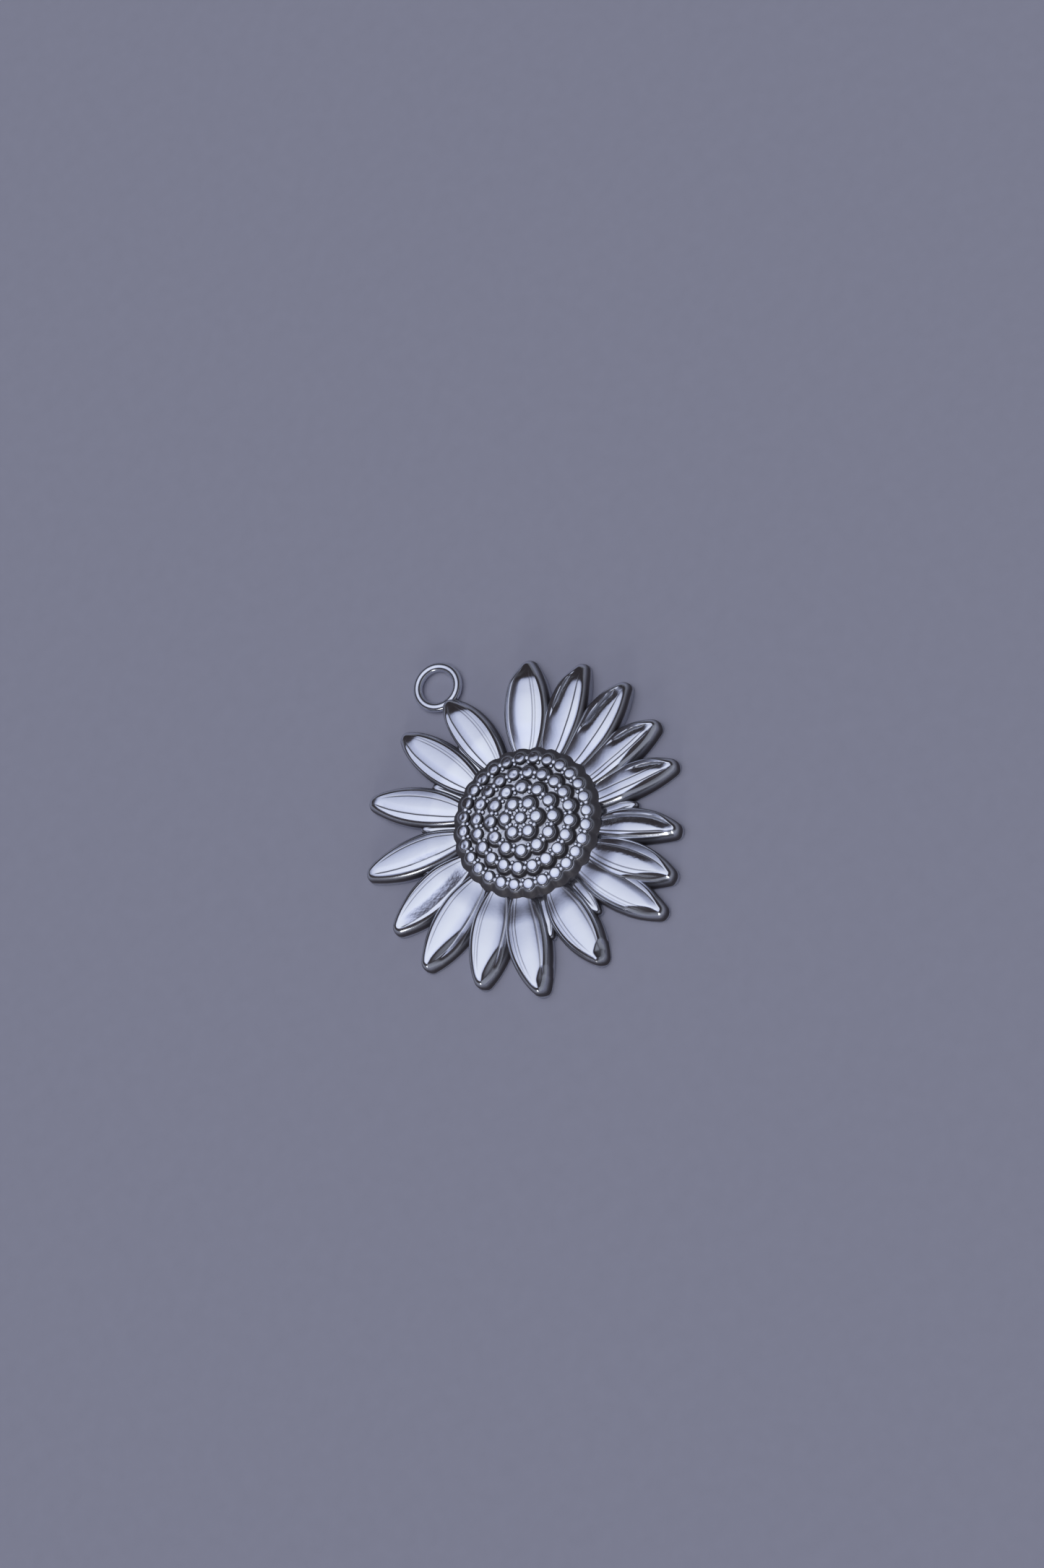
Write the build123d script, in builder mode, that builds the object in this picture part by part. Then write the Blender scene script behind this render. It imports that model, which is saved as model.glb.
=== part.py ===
"""Sunflower pendant: one cast piece with seventeen petals, a beaded seed disc and a ring loop.

The back lies flat on z = 0, the origin is under the middle of the seed disc, and the loop is on +Y.
All sizes are millimetres.
"""

import os
from collections import namedtuple
from math import cos, radians, sin, sqrt

from build123d import *

# Petals
flower_radius = 15.9  # from the middle of the disc to the tip of the longest petal
petal_width = 4.0  # a petal of width share 1, at its widest
petal_height = 1.6  # top of a petal above the back
nose_radius = 0.8  # rounding of a petal's tip, seen from above
edge_radius = 0.3  # rounding between a side wall and the top
edge_limit = 0.066  # the most that this rounding takes of a petal's length
crown_radius = 7.0  # how the top curves from side to side
fall_radius = 52.0  # how it curves down towards the tip
lift_height = 0.08  # how much a petal of lift 1 rises over its neighbours
groove_depth = 0.07  # engraved line beside the middle panel
groove_radius = 0.09
valley_depth = 0.12  # hollow between the middle panel and the raised rim
valley_radius = 0.7

# One row for each petal, anticlockwise from the one that carries the loop. Directions are degrees from +X.
# reach is a share of flower_radius and width of petal_width. bow, crest, groove and valley are shares of half
# the width, positive towards the anticlockwise edge. bow is how far the petal bulges that way and crest where
# its top is highest, both from its middle line. groove and valley are where the engraved line and the hollow
# run, from midway between its edges.
Petal = namedtuple("Petal", "root_deg tip_deg reach width bow lift crest groove valley")
PETALS = [
    Petal(85.0, 90.0, 0.934, 0.91, -0.12, 0.2, 0.0, -0.34, 0.53),
    Petal(109.0, 109.2, 0.976, 0.96, -0.01, 0.0, 0.0, -0.43, 0.51),
    Petal(132.3, 134.3, 0.984, 0.94, -0.07, 0.2, 0.0, -0.44, 0.44),
    Petal(153.5, 159.6, 0.994, 0.95, -0.05, 0.0, 0.0, -0.55, 0.43),
    Petal(174.0, 182.2, 0.977, 1.01, -0.04, 0.0, -0.4, -0.48, 0.51),
    Petal(193.5, 199.6, 1.000, 1.03, 0.02, 0.5, -0.4, -0.54, 0.52),
    Petal(211.0, 220.7, 0.965, 1.01, 0.04, 0.9, -0.4, -0.46, 0.58),
    Petal(230.5, 242.0, 0.996, 1.00, -0.12, 1.3, -0.2, -0.42, 0.53),
    Petal(257.0, 265.0, 0.950, 0.99, -0.06, 0.3, 0.0, -0.44, 0.58),
    Petal(285.0, 290.4, 1.000, 0.91, -0.07, 0.0, -0.3, -0.42, 0.55),
    Petal(299.3, 302.6, 0.947, 0.98, 0.00, 0.6, -0.2, -0.54, 0.50),
    Petal(317.8, 319.2, 0.903, 0.79, 0.21, 0.2, -0.2, -0.46, 0.56),
    Petal(340.5, 343.8, 0.912, 0.81, 0.17, 0.0, -0.2, -0.38, 0.54),
    Petal(357.5, 0.8, 0.918, 0.90, 0.17, 0.5, -0.2, -0.44, 0.53),
    Petal(18.5, 19.6, 0.953, 0.94, 0.01, 0.9, -0.4, -0.36, 0.51),
    Petal(37.0, 37.6, 0.956, 0.91, 0.01, 1.3, -0.4, -0.40, 0.59),
    Petal(59.0, 57.6, 0.959, 1.06, -0.04, 1.7, 0.0, -0.36, 0.68),
]
crest_at = 0.30  # where a petal's top is highest, as a share of its length from its root
root_share = 0.60  # how near the middle line a groove starts, against its place where the petal is widest
groove_end = 1.1  # where a groove has run out, past the tip, as a share of the petal's length
widest_at = 0.47  # where a petal is widest, as a share of its length from its root

# The small plain petals of the layer below, which show in the gaps between the others.
UNDER_PETALS = [
    Petal(97.5, 97.0, 0.675, 1, 0, 0, 0, 0, 0),
    Petal(121.0, 121.3, 0.655, 1, 0, 0, 0, 0, 0),
    Petal(143.5, 144.3, 0.655, 1, 0, 0, 0, 0, 0),
    Petal(164.0, 166.3, 0.690, 1, 0, 0, 0, 0, 0),
    Petal(244.0, 248.7, 0.685, 1, 0, 0, 0, 0, 0),
    Petal(272.0, 274.3, 0.690, 1, 0, 0, 0, 0, 0),
    Petal(309.5, 311.6, 0.645, 1, 0, 0, 0, 0, 0),
    Petal(328.5, 332.0, 0.645, 1, 0, 0, 0, 0, 0),
]
under_width = 1.7
under_height = 1.0
under_nose = 0.32  # rounding of an under petal's tip

# Seed disc
seed_radius = 0.58
seed_height = 0.38  # a seed above the terrace that it stands on
seed_pitch = 1.46  # from one ring of seeds to the next
seed_root = 1.4  # how far a seed reaches down into the disc
seed_edge = 0.18  # rounding round a seed's top
grain_radius = 0.15  # the small grains between two seeds
grain_height = 0.16
terrace_lip = 0.44  # a terrace's wall stands this far outside its ring of seeds
disc_height = 2.82  # top terrace above the back
skirt_width = 0.85  # the slope round the disc, down from the lowest terrace into the petals
skirt_foot = 1.22  # height of that slope's foot
seed_phase = 87.0  # direction of the first seed of each ring, in degrees

# Rings of seeds from the middle outwards. drop is how far the terrace lies below disc_height, as a share.
SeedRing = namedtuple("SeedRing", "seeds drop")
SEED_RINGS = [
    SeedRing(1, 0.000),
    SeedRing(6, 0.000),
    SeedRing(12, 0.105),
    SeedRing(20, 0.230),
    SeedRing(28, 0.370),
]

# Ring loop
eye_diameter = 3.06
wire_diameter = 0.86
eye_land = 0.3  # straight stretch of the eye's wall
loop_overlap = 0.6  # how far the loop runs in under the tip of its petal

disc_radius = seed_pitch * (len(SEED_RINGS) - 1) + terrace_lip
root_radius = disc_radius - seed_radius


def polar(radius, direction):
    """The point at this distance from the middle, in this direction in degrees."""
    return Vector(radius * cos(radians(direction)), radius * sin(radians(direction)))


def petal_frame(petal):
    """The plane whose x runs from a petal's root to its tip, and the petal's length."""
    root = polar(root_radius, petal.root_deg)
    tip = polar(petal.reach * flower_radius, petal.tip_deg)
    return Plane(origin=root, x_dir=tip - root), (tip - root).length


def draw_petal(length, half_cw, half_ccw, nose):
    """A petal's outline from its root at x = 0: an arc on each side that runs smoothly into a round nose."""
    middle = length - nose
    span = middle - widest_at * length
    joins = []
    roots = []
    for side, half in ((-1, half_cw), (1, half_ccw)):
        radius = (half**2 + span**2 - nose**2) / (2 * (half - nose))
        lean_x = span / (radius - nose)
        lean_y = (radius - half) / (radius - nose)
        joins.append((middle + nose * lean_x, side * nose * lean_y))
        root_y = sqrt(radius**2 - (widest_at * length) ** 2) - radius + half
        roots.append((0, side * root_y))
        ThreePointArc(roots[-1], (widest_at * length, side * half), joins[-1])
    ThreePointArc(joins[0], (length, 0), joins[1])
    Line(roots[1], roots[0])


def petal_top(petal, height):
    """How high this petal's top is before it is crowned."""
    return height + petal.lift * lift_height


def make_blade(petal, width, height, nose):
    """A plain petal: its outline drawn up from the back plane, under a crowned top with a rounded edge."""
    frame, length = petal_frame(petal)
    half = petal.width * width / 2
    top = petal_top(petal, height)
    crest = Plane(
        origin=frame.from_local_coords((crest_at * length, 0, 0)),
        x_dir=frame.y_dir,
        z_dir=frame.x_dir,
    )
    hinge = Axis(crest.from_local_coords((0, top - fall_radius)), crest.x_dir)
    with BuildPart() as blade:
        with BuildSketch(frame):
            with BuildLine():
                draw_petal(length, half * (1 - petal.bow), half * (1 + petal.bow), nose)
            make_face()
        extrude(amount=top + 1)
        with BuildSketch(crest):
            with Locations((petal.crest * half, top - crown_radius)):
                Circle(crown_radius)
        revolve(axis=hinge, mode=Mode.INTERSECT)
        crown = blade.faces().sort_by(Axis.Z)[-1]
        rim = crown.edges().sort_by(Axis(frame.origin, frame.x_dir))[1:]
        fillet(rim, min(edge_radius, edge_limit * length))
    return blade.part


def top_at(petal, height, length, along, offset):
    """The height of a petal's top at this share of its length and this far from its middle line."""
    fall = ((along - crest_at) * length) ** 2 / (2 * fall_radius)
    crown = (offset - petal.crest * petal.width * petal_width / 2) ** 2 / (2 * crown_radius)
    return petal_top(petal, height) - fall - crown


def make_groove(petal, share, radius, depth):
    """The round bar that cuts a line into a petal's top, this share of half its width from its middle."""
    frame, length = petal_frame(petal)
    offset_at_widest = (share + petal.bow) * petal.width * petal_width / 2
    points = []
    for along, offset, cut in (
        (0, offset_at_widest * root_share, depth),
        (widest_at, offset_at_widest, depth),
        (groove_end, share * nose_radius, 0),
    ):
        height = top_at(petal, petal_height, length, along, offset) - cut + radius
        points.append(frame.from_local_coords((along * length, offset, height)))
    with BuildPart() as bar:
        with BuildLine() as path:
            ThreePointArc(*points)
        with BuildSketch(Plane(origin=points[0], z_dir=path.line % 0)):
            Circle(radius)
        sweep(path=path.line)
    return bar.part


def make_petal(petal):
    """One petal of the front layer, with its engraved line and its hollow."""
    with BuildPart() as carved:
        add(make_blade(petal, petal_width, petal_height, nose_radius))
        add(make_groove(petal, petal.groove, groove_radius, groove_depth), mode=Mode.SUBTRACT)
        add(make_groove(petal, petal.valley, valley_radius, valley_depth), mode=Mode.SUBTRACT)
    return carved.part


def make_seed():
    """One seed, standing on a root that reaches down into the disc."""
    with BuildPart() as seed:
        Cylinder(seed_radius, seed_height + seed_root, align=(Align.CENTER, Align.CENTER, Align.MAX))
        fillet(seed.edges().sort_by(Axis.Z)[-1], seed_edge)
    return seed.part


def make_disc():
    """The stepped disc with its rings of seeds and the grains between them."""
    seed = make_seed()
    with BuildPart() as disc:
        skirt_top = disc_height * (1 - SEED_RINGS[-1].drop)
        with Locations((0, 0, skirt_foot)):
            Cone(
                disc_radius + skirt_width,
                disc_radius,
                skirt_top - skirt_foot,
                align=(Align.CENTER, Align.CENTER, Align.MIN),
            )
        for number, ring in enumerate(SEED_RINGS):
            floor = disc_height * (1 - ring.drop)
            Cylinder(
                number * seed_pitch + terrace_lip,
                floor,
                align=(Align.CENTER, Align.CENTER, Align.MIN),
            )
        for number, ring in enumerate(SEED_RINGS):
            floor = disc_height * (1 - ring.drop)
            step = 360 / ring.seeds
            with Locations((0, 0, floor + seed_height)):
                with PolarLocations(number * seed_pitch, ring.seeds, start_angle=seed_phase):
                    add(seed)
            if number > 0:
                with Locations((0, 0, floor + grain_height - grain_radius)):
                    with PolarLocations(number * seed_pitch, ring.seeds, start_angle=seed_phase + step / 2):
                        Sphere(grain_radius)
    return disc.part


def make_loop():
    """The ring of round wire, lying on the back plane, its eye turned true for a short stretch."""
    bearer = PETALS[0]
    wire_radius = wire_diameter / 2
    middle_radius = eye_diameter / 2 + sqrt(wire_radius**2 - (eye_land / 2) ** 2)
    tip = polar(bearer.reach * flower_radius, bearer.tip_deg)
    with BuildPart() as loop:
        with Locations((tip.X, tip.Y + middle_radius + wire_radius - loop_overlap, wire_radius)):
            Torus(middle_radius, wire_radius)
            Cylinder(eye_diameter / 2, wire_diameter, mode=Mode.SUBTRACT)
    return loop.part


with BuildPart() as pendant:
    add(make_disc())
    add([make_petal(petal) for petal in PETALS])
    add([make_blade(petal, under_width, under_height, under_nose) for petal in UNDER_PETALS])
    add(make_loop())
pendant.part.label = "pendant"

os.makedirs("parts", exist_ok=True)
export_step(pendant.part, "parts/pendant.step")
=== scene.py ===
"""Looks of the sunflower pendant, laid out as an add-on and run as a script.

Sizes in the tables are millimetres in the frame of the solid: the back on z = 0, the origin under the middle
of the seed disc, the ring loop on +Y. Meshes are made in metres.
"""

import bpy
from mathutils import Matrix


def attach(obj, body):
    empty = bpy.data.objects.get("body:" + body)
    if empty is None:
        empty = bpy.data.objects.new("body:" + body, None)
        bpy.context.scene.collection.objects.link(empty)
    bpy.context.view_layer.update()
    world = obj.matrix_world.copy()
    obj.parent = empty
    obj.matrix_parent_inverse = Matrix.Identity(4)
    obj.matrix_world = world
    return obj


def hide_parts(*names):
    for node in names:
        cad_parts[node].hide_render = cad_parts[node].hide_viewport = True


bl_info = {
    "name": "Sunflower Pendant",
    "version": (1, 0, 0),
    "blender": (4, 5, 0),
    "location": "3D View > Sidebar > Pendant",
    "description": "Builds a cast sunflower pendant with its petals, seed disc and ring loop",
    "category": "Object",
}

from collections import namedtuple
from math import cos, pi, radians, sin, sqrt, tau

import bpy
import numpy as np
from mathutils import Matrix, Vector

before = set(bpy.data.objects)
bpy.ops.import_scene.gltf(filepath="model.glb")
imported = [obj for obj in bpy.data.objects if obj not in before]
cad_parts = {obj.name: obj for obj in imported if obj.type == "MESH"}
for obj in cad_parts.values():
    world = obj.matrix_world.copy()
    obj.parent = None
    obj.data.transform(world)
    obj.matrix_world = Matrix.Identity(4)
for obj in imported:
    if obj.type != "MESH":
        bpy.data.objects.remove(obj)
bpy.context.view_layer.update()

MM = 0.001
SOLID = "pendant"

# Petals, the same sizes as the solid's
FLOWER_RADIUS = 15.9  # from the middle of the disc to the tip of the longest petal
PETAL_WIDTH = 4.0  # a petal of width share 1, at its widest
PETAL_HEIGHT = 1.6
NOSE_RADIUS = 0.8  # rounding of a petal's tip, seen from above
CROWN_RADIUS = 7.0  # how the top curves from side to side
LIFT_HEIGHT = 0.08  # how much a petal of lift 1 rises over its neighbours
CREST_AT = 0.30  # where the top is highest, as a share of the petal's length from its root
WIDEST_AT = 0.47  # where the petal is widest, as a share of the same length

# One row for each petal, anticlockwise from the one that carries the loop, as in the solid, but for a little
# more reach on the loop's side. Directions are degrees from +X. reach is a share of FLOWER_RADIUS, width of
# PETAL_WIDTH and lift of LIFT_HEIGHT. The others are shares of half the width, positive towards the
# anticlockwise edge: how far the petal bulges, where its top is highest, and where line and hollow run.
Petal = namedtuple("Petal", "root_deg tip_deg reach width bow lift crest groove valley")
PETALS = [
    Petal(85.0, 90.0, 0.944, 0.91, -0.12, 0.2, 0.0, -0.34, 0.53),
    Petal(109.0, 109.2, 0.990, 0.96, -0.01, 0.0, 0.0, -0.43, 0.51),
    Petal(132.3, 134.3, 0.997, 0.94, -0.07, 0.2, 0.0, -0.44, 0.44),
    Petal(153.5, 159.6, 1.000, 0.95, -0.05, 0.0, 0.0, -0.55, 0.43),
    Petal(174.0, 182.2, 0.977, 1.01, -0.04, 0.0, -0.4, -0.48, 0.51),
    Petal(193.5, 199.6, 1.000, 1.03, 0.02, 0.5, -0.4, -0.54, 0.52),
    Petal(211.0, 220.7, 0.965, 1.01, 0.04, 0.9, -0.4, -0.46, 0.58),
    Petal(230.5, 242.0, 0.996, 1.00, -0.12, 1.3, -0.2, -0.42, 0.53),
    Petal(257.0, 265.0, 0.950, 0.99, -0.06, 0.3, 0.0, -0.44, 0.58),
    Petal(285.0, 290.4, 1.000, 0.91, -0.07, 0.0, -0.3, -0.42, 0.55),
    Petal(299.3, 302.6, 0.947, 0.98, 0.00, 0.6, -0.2, -0.54, 0.50),
    Petal(317.8, 319.2, 0.903, 0.79, 0.21, 0.2, -0.2, -0.46, 0.56),
    Petal(340.5, 343.8, 0.916, 0.81, 0.17, 0.0, -0.2, -0.38, 0.54),
    Petal(357.5, 0.8, 0.926, 0.90, 0.17, 0.5, -0.2, -0.44, 0.53),
    Petal(18.5, 19.6, 0.966, 0.94, 0.01, 0.9, -0.4, -0.36, 0.51),
    Petal(37.0, 37.6, 0.971, 0.91, 0.01, 1.3, -0.4, -0.40, 0.59),
    Petal(59.0, 57.6, 0.974, 1.06, -0.04, 1.7, 0.0, -0.36, 0.68),
]

# The small petals of the layer below, which show in the gaps between the others
UNDER_PETALS = [
    Petal(97.5, 97.0, 0.675, 1, 0, 0, 0, -0.1, 0.5),
    Petal(121.0, 121.3, 0.655, 1, 0, 0, 0, -0.1, 0.5),
    Petal(143.5, 144.3, 0.655, 1, 0, 0, 0, -0.1, 0.5),
    Petal(164.0, 166.3, 0.690, 1, 0, 0, 0, -0.1, 0.5),
    Petal(244.0, 248.7, 0.685, 1, 0, 0, 0, -0.1, 0.5),
    Petal(272.0, 274.3, 0.690, 1, 0, 0, 0, -0.1, 0.5),
    Petal(309.5, 311.6, 0.645, 1, 0, 0, 0, -0.1, 0.5),
    Petal(328.5, 332.0, 0.645, 1, 0, 0, 0, -0.1, 0.5),
]
UNDER_WIDTH = 1.7
UNDER_HEIGHT = 1.0
UNDER_NOSE = 0.32
UNDER_SHOULDER = 0.8  # the widest that their rounded edge gets, as a share of UNDER_NOSE

# How each petal is finished, in the same order. second is how far beyond the engraved line its fainter twin
# runs (0 for none) and dark how dark the line is painted, as painted shade in the groove. hollow is the slope
# of the hollow beside the rim and reach its width; it is deepest between the shares start and stop of the
# length.
# tip_start is how far before the tip the top starts to fall, at tip_slope, and tip_skew how much later on the
# anticlockwise side. side names the edge (-1 clockwise, 1 anticlockwise, 0 none) along which a steep facet
# starts at the share side_from of the length; it is side_y from the middle line near the tip. rim is how wide
# the rounded edge on the anticlockwise side is, as a share of the one on the clockwise side.
Finish = namedtuple(
    "Finish",
    "second dark hollow reach start stop tip_start tip_slope tip_skew side side_from side_y rim",
)
FINISHES = [
    Finish(0.25, 0.3, 0.12, 0.60, 0.00, 1.00, 1.95, 0.32, 0.5, 0, 0.00, 0.0, 0.5),
    Finish(0.25, 0.3, 0.12, 0.60, 0.00, 1.00, 1.50, 0.32, 0.2, 0, 0.00, 0.0, 0.6),
    Finish(0.00, 0.4, 0.12, 0.60, 0.00, 1.00, 1.00, 0.30, 0.0, 0, 0.00, 0.0, 0.8),
    Finish(0.00, 0.4, 0.26, 0.45, 0.25, 0.55, 0.80, 0.22, 0.0, 0, 0.00, 0.0, 1.0),
    Finish(0.35, 0.3, 0.29, 0.90, 0.12, 0.84, 0.60, 0.22, 0.0, 0, 0.00, 0.0, 1.0),
    Finish(0.40, 0.3, 0.08, 0.70, 0.00, 1.00, 0.60, 0.25, 0.0, 1, 0.54, 0.1, 1.0),
    Finish(0.25, 0.3, 0.06, 0.60, 0.00, 1.00, 0.80, 0.30, 0.0, 1, 0.60, 0.1, 1.0),
    Finish(0.30, 0.3, 0.06, 0.50, 0.00, 1.00, 0.80, 0.30, 0.0, 1, 0.76, 0.0, 1.0),
    Finish(0.30, 0.3, 0.05, 0.50, 0.00, 1.00, 0.80, 0.30, 0.0, 1, 0.80, -0.2, 1.0),
    Finish(0.30, 0.3, 0.14, 0.50, 0.20, 1.00, 0.80, 0.30, 0.0, -1, 0.66, -0.1, 0.6),
    Finish(-0.45, 0.8, 0.26, 0.50, 0.15, 0.70, 0.70, 0.28, 0.0, -1, 0.50, -0.1, 0.5),
    Finish(0.00, 0.8, 0.32, 0.80, 0.00, 1.00, 0.70, 0.25, 0.0, -1, 0.35, -0.1, 0.5),
    Finish(-0.70, 0.8, 0.30, 0.60, 0.58, 0.92, 0.70, 0.25, 0.0, -1, 0.36, -0.1, 0.4),
    Finish(-0.40, 0.8, 0.30, 0.60, 0.54, 0.92, 0.70, 0.25, 0.0, -1, 0.42, -0.1, 0.4),
    Finish(0.00, 0.8, 0.32, 0.80, 0.44, 0.88, 1.00, 0.32, 0.0, 0, 0.00, 0.0, 0.4),
    Finish(0.00, 0.8, 0.28, 0.60, 0.50, 0.85, 1.90, 0.35, 0.0, 0, 0.00, 0.0, 0.4),
    Finish(0.25, 0.4, 0.12, 0.60, 0.00, 1.00, 2.10, 0.38, 0.0, 0, 0.00, 0.0, 0.5),
]

# The finish of the under petals
PLAIN = Finish(0, 0.9, 0.08, 0.3, 0, 1, 0.5, 0.3, 0, 0, 0, 0, 1)

# A petal's top
FALL_RADIUS = 150.0  # how it curves down from where it is highest, towards root and tip
TIP_SOFTNESS = 0.30  # how softly it bends down before the tip
LIFT_FROM = 0.15  # where a petal starts to rise over its neighbours, as a share of its length
LIFT_LENGTH = 0.5  # the share of its length over which it does
ROOT_LIFT = 0.4  # the share of LIFT_HEIGHT that it has at its root
OUTER_LIFT = 0.15  # how much more than LIFT_HEIGHT a petal of lift 1 rises from there
ROOT_DIP = 0.36  # how much lower the top is at the root
ROOT_DIP_FROM = 0.6  # how far from the root it starts to rise out of this dip
ROOT_DIP_LENGTH = 3.2  # how long that rise is
FACET_SLOPE = 0.68
FACET_SOFTNESS = 0.10  # how soft the bend into a facet is
FACET_FULL_AT = 0.88  # where a facet has its full width, as a share of the length
RIM_SLOPE = 0.25  # the share of a facet's slope that is kept on the raised rim beyond the hollow

# A petal's lines and hollow. Ends and lengths are shares of the petal's length.
LINE_WIDTH = 0.05
SECOND_DEPTH = 0.6  # depth of the fainter twin, as a share of the line's
LINE_END = 0.90
LINE_FADE = 0.2
RELIEF_END = 0.94
RELIEF_FADE = 0.12
HOLLOW_SOFTNESS = 0.10  # how soft the bend into the hollow is
HOLLOW_RISE = 0.10  # width of its steep side, towards the rim
HOLLOW_ROOT = 0.5  # the share of its depth that it has at the root
HOLLOW_ROOT_LENGTH = 0.3
HOLLOW_RAMP = 0.2  # length over which its deep stretch starts and stops
HOLLOW_LATE = 0.3  # a hollow that starts beyond this has no plain stretch before it or after it
HOLLOW_PLAIN = 0.12  # its slope outside that stretch
HOLLOW_ROUGH_FROM = 0.25  # a hollow steeper than this keeps its cast skin
HOLLOW_EDGE = 0.2  # width over which that skin starts
HOLLOW_DARK = 0.55  # how dark painted shade makes the foot of its steep side
HOLLOW_DARK_AT = 0.03
HOLLOW_DARK_WIDTH = 0.06

# A petal's rounded edge and its wall
RIM_END = 0.7  # where the anticlockwise edge starts to widen to the whole shoulder, as a share of its side
SHOULDER_FALL = 1.45  # how much deeper than wide the rounded edge is
EDGE_PROBE = 0.02  # the step inwards over which the top's lean is measured
EDGE_PAINTED_SHADE = 1.0  # how dark painted shade makes the rounded edge
EDGE_DARK_FROM = 0.25  # the share of its way down where it starts to darken
EDGE_DARK_LENGTH = 0.45
WALL_LEAST = 0.12  # least height of the wall below it
WALL_FLARE = 0.06  # how far the wall leans out
# how dark painted shade makes the wall below it
WALL_PAINTED_SHADE = 0.25
PETAL_FOOT = 0.03
WallRing = namedtuple("WallRing", "share flare")
WALL_RINGS = [WallRing(0.25, 0.3), WallRing(0.9, 0.9), WallRing(1.0, 0.9)]
NOSE_CORNER = radians(35)  # half of the nose's arc between the last points of the two sides

# How rough the cast skin is
PLAIN_TEXTURE = 0.06
HOLLOW_TEXTURE = 0.32
CAST_TEXTURE = 1.0
SEED_TEXTURE = 0.25

# Seed disc. lean is how far a ring's seeds lean outwards, in degrees, and grain the radius of the grains
# between them. drop is how far the terrace lies below DISC_HEIGHT, as a share.
SEED_RADIUS = 0.58
SEED_PITCH = 1.46
SEED_PHASE = 87.0  # direction of the first seed of each ring, in degrees
TERRACE_LIP = 0.44  # how far outside its ring of seeds a terrace ends
DISC_HEIGHT = 2.82
SeedRing = namedtuple("SeedRing", "seeds drop lean grain")
SEED_RINGS = [
    SeedRing(1, 0.000, 0, 0.00),
    SeedRing(6, 0.000, 2, 0.23),
    SeedRing(12, 0.105, 5, 0.24),
    SeedRing(20, 0.230, 9, 0.24),
    SeedRing(28, 0.370, 12, 0.25),
]
DISC_RADIUS = SEED_PITCH * (len(SEED_RINGS) - 1) + TERRACE_LIP
ROOT_RADIUS = DISC_RADIUS - SEED_RADIUS
DISC_BURY = 0.2  # height of the disc's hidden underside
CENTRE_RING = 0.3  # radius of the innermost row of points

# Terraces: lobes round the seeds and the web that joins them, at the top and the foot of a terrace's wall,
# as a lobe's radius and as the web's reach beyond the ring of seeds
LOBE_TOP = 0.60
WEB_TOP = 0.20
LOBE_FOOT = 0.85
WEB_FOOT = 0.22
SKIRT_LOBE = 1.17
SKIRT_WEB = 0.99
SKIRT_FOOT = 1.27  # height of the foot of the slope round the disc
LOBE_BLEND = 0.05  # how soft the corner between lobe and web is
FLOOR_SHARES = (0.12, 0.4, 0.7, 0.9)  # rows of points across a terrace
WALL_SHARES = (0, 0.06, 0.14, 0.25, 0.4, 0.55, 0.7, 0.84, 0.94, 1)  # and down its wall
WALL_CURVE = 0.6  # how much of a wall's section is an S; the rest is straight
# How dark painted shade makes the terraces' floors and walls and the skirt round the disc
FLOOR_DARK = 0.12
WALL_DARK = 0.92
SKIRT_PAINTED_SHADE = 0.92
WALL_DARK_LENGTH = 0.3  # the share of a wall over which it gets dark

# Turned forms from the foot to the top, with how dark each row is painted: painted shade round their feet
Turn = namedtuple("Turn", "radius height recess")
SEED_PROFILE = [
    Turn(0.605, -0.10, 1.0),
    Turn(0.600, 0.05, 1.0),
    Turn(0.590, 0.14, 0.9),
    Turn(0.575, 0.210, 0.8),
    Turn(0.552, 0.265, 0.6),
    Turn(0.522, 0.312, 0.4),
    Turn(0.485, 0.346, 0.1),
    Turn(0.430, 0.368, 0.0),
    Turn(0.340, 0.386, 0.0),
    Turn(0.240, 0.399, 0.0),
    Turn(0.120, 0.407, 0.0),
    Turn(0.000, 0.409, 0.0),
]
GRAIN_PROFILE = [
    Turn(1.08, -0.50, 1.0),
    Turn(1.06, 0.30, 0.9),
    Turn(1.00, 0.62, 0.5),
    Turn(0.90, 0.80, 0.1),
    Turn(0.74, 0.91, 0.0),
    Turn(0.50, 0.98, 0.0),
    Turn(0.25, 1.01, 0.0),
    Turn(0.00, 1.02, 0.0),
]

# Grains beside the ones between the seeds. place is from the disc's middle, or for INNER_GRAIN from its ring,
# size is the radius, stray how far in degrees it may stand off and stretch how much longer than wide it is.
Grain = namedtuple("Grain", "place size stray stretch")
CENTRE_GRAIN = Grain(0.76, 0.20, 3, 1)
SLOT_GRAIN = Grain(1.12, 0.18, 0, 1.3)
INNER_GRAIN = Grain(-0.40, 0.19, 1, 1)

# How much seeds and grains differ by chance: in place, in direction and lean in degrees, and in size
CHANCE_SEED = 7
SEED_SCATTER = 0.012
SEED_STRAY = 0.15
LEAN_STRAY = 1.2
SIZE_STRAY = 0.015
GRAIN_SCATTER = 0.03
GRAIN_STRAY = 0.4
SEED_SINK = 0.03  # how far a seed is set into its terrace

# Dents worn into the seeds on one side, each off the middle of its seed
WORN_HEADING = 115  # the middle of that side, in degrees
WORN_SPREAD = 0.6  # they are whole where the cosine of the angle from WORN_HEADING is above this
DENT_DEPTH = 0.07
DENT_LEAST = 0.3  # the shallowest, as a share of the deepest
DENT_WIDTH = 0.20
DENT_OFF = (0.12, 0.34)

# Ring loop
EYE_DIAMETER = 3.06
WIRE_DIAMETER = 0.86
EYE_LAND = 0.3  # straight stretch of the eye's wall
LOOP_OVERLAP = 0.759  # how far the loop runs in under the tip of its petal

# Back plate
BACK_INSET = 0.03  # how far it stays inside the petals' outline
BACK_HEIGHT = 0.25
HUB_RADIUS = 6.6  # it reaches at least this far
BACK_STEP = 0.02  # the steps in which its reach is found

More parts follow.
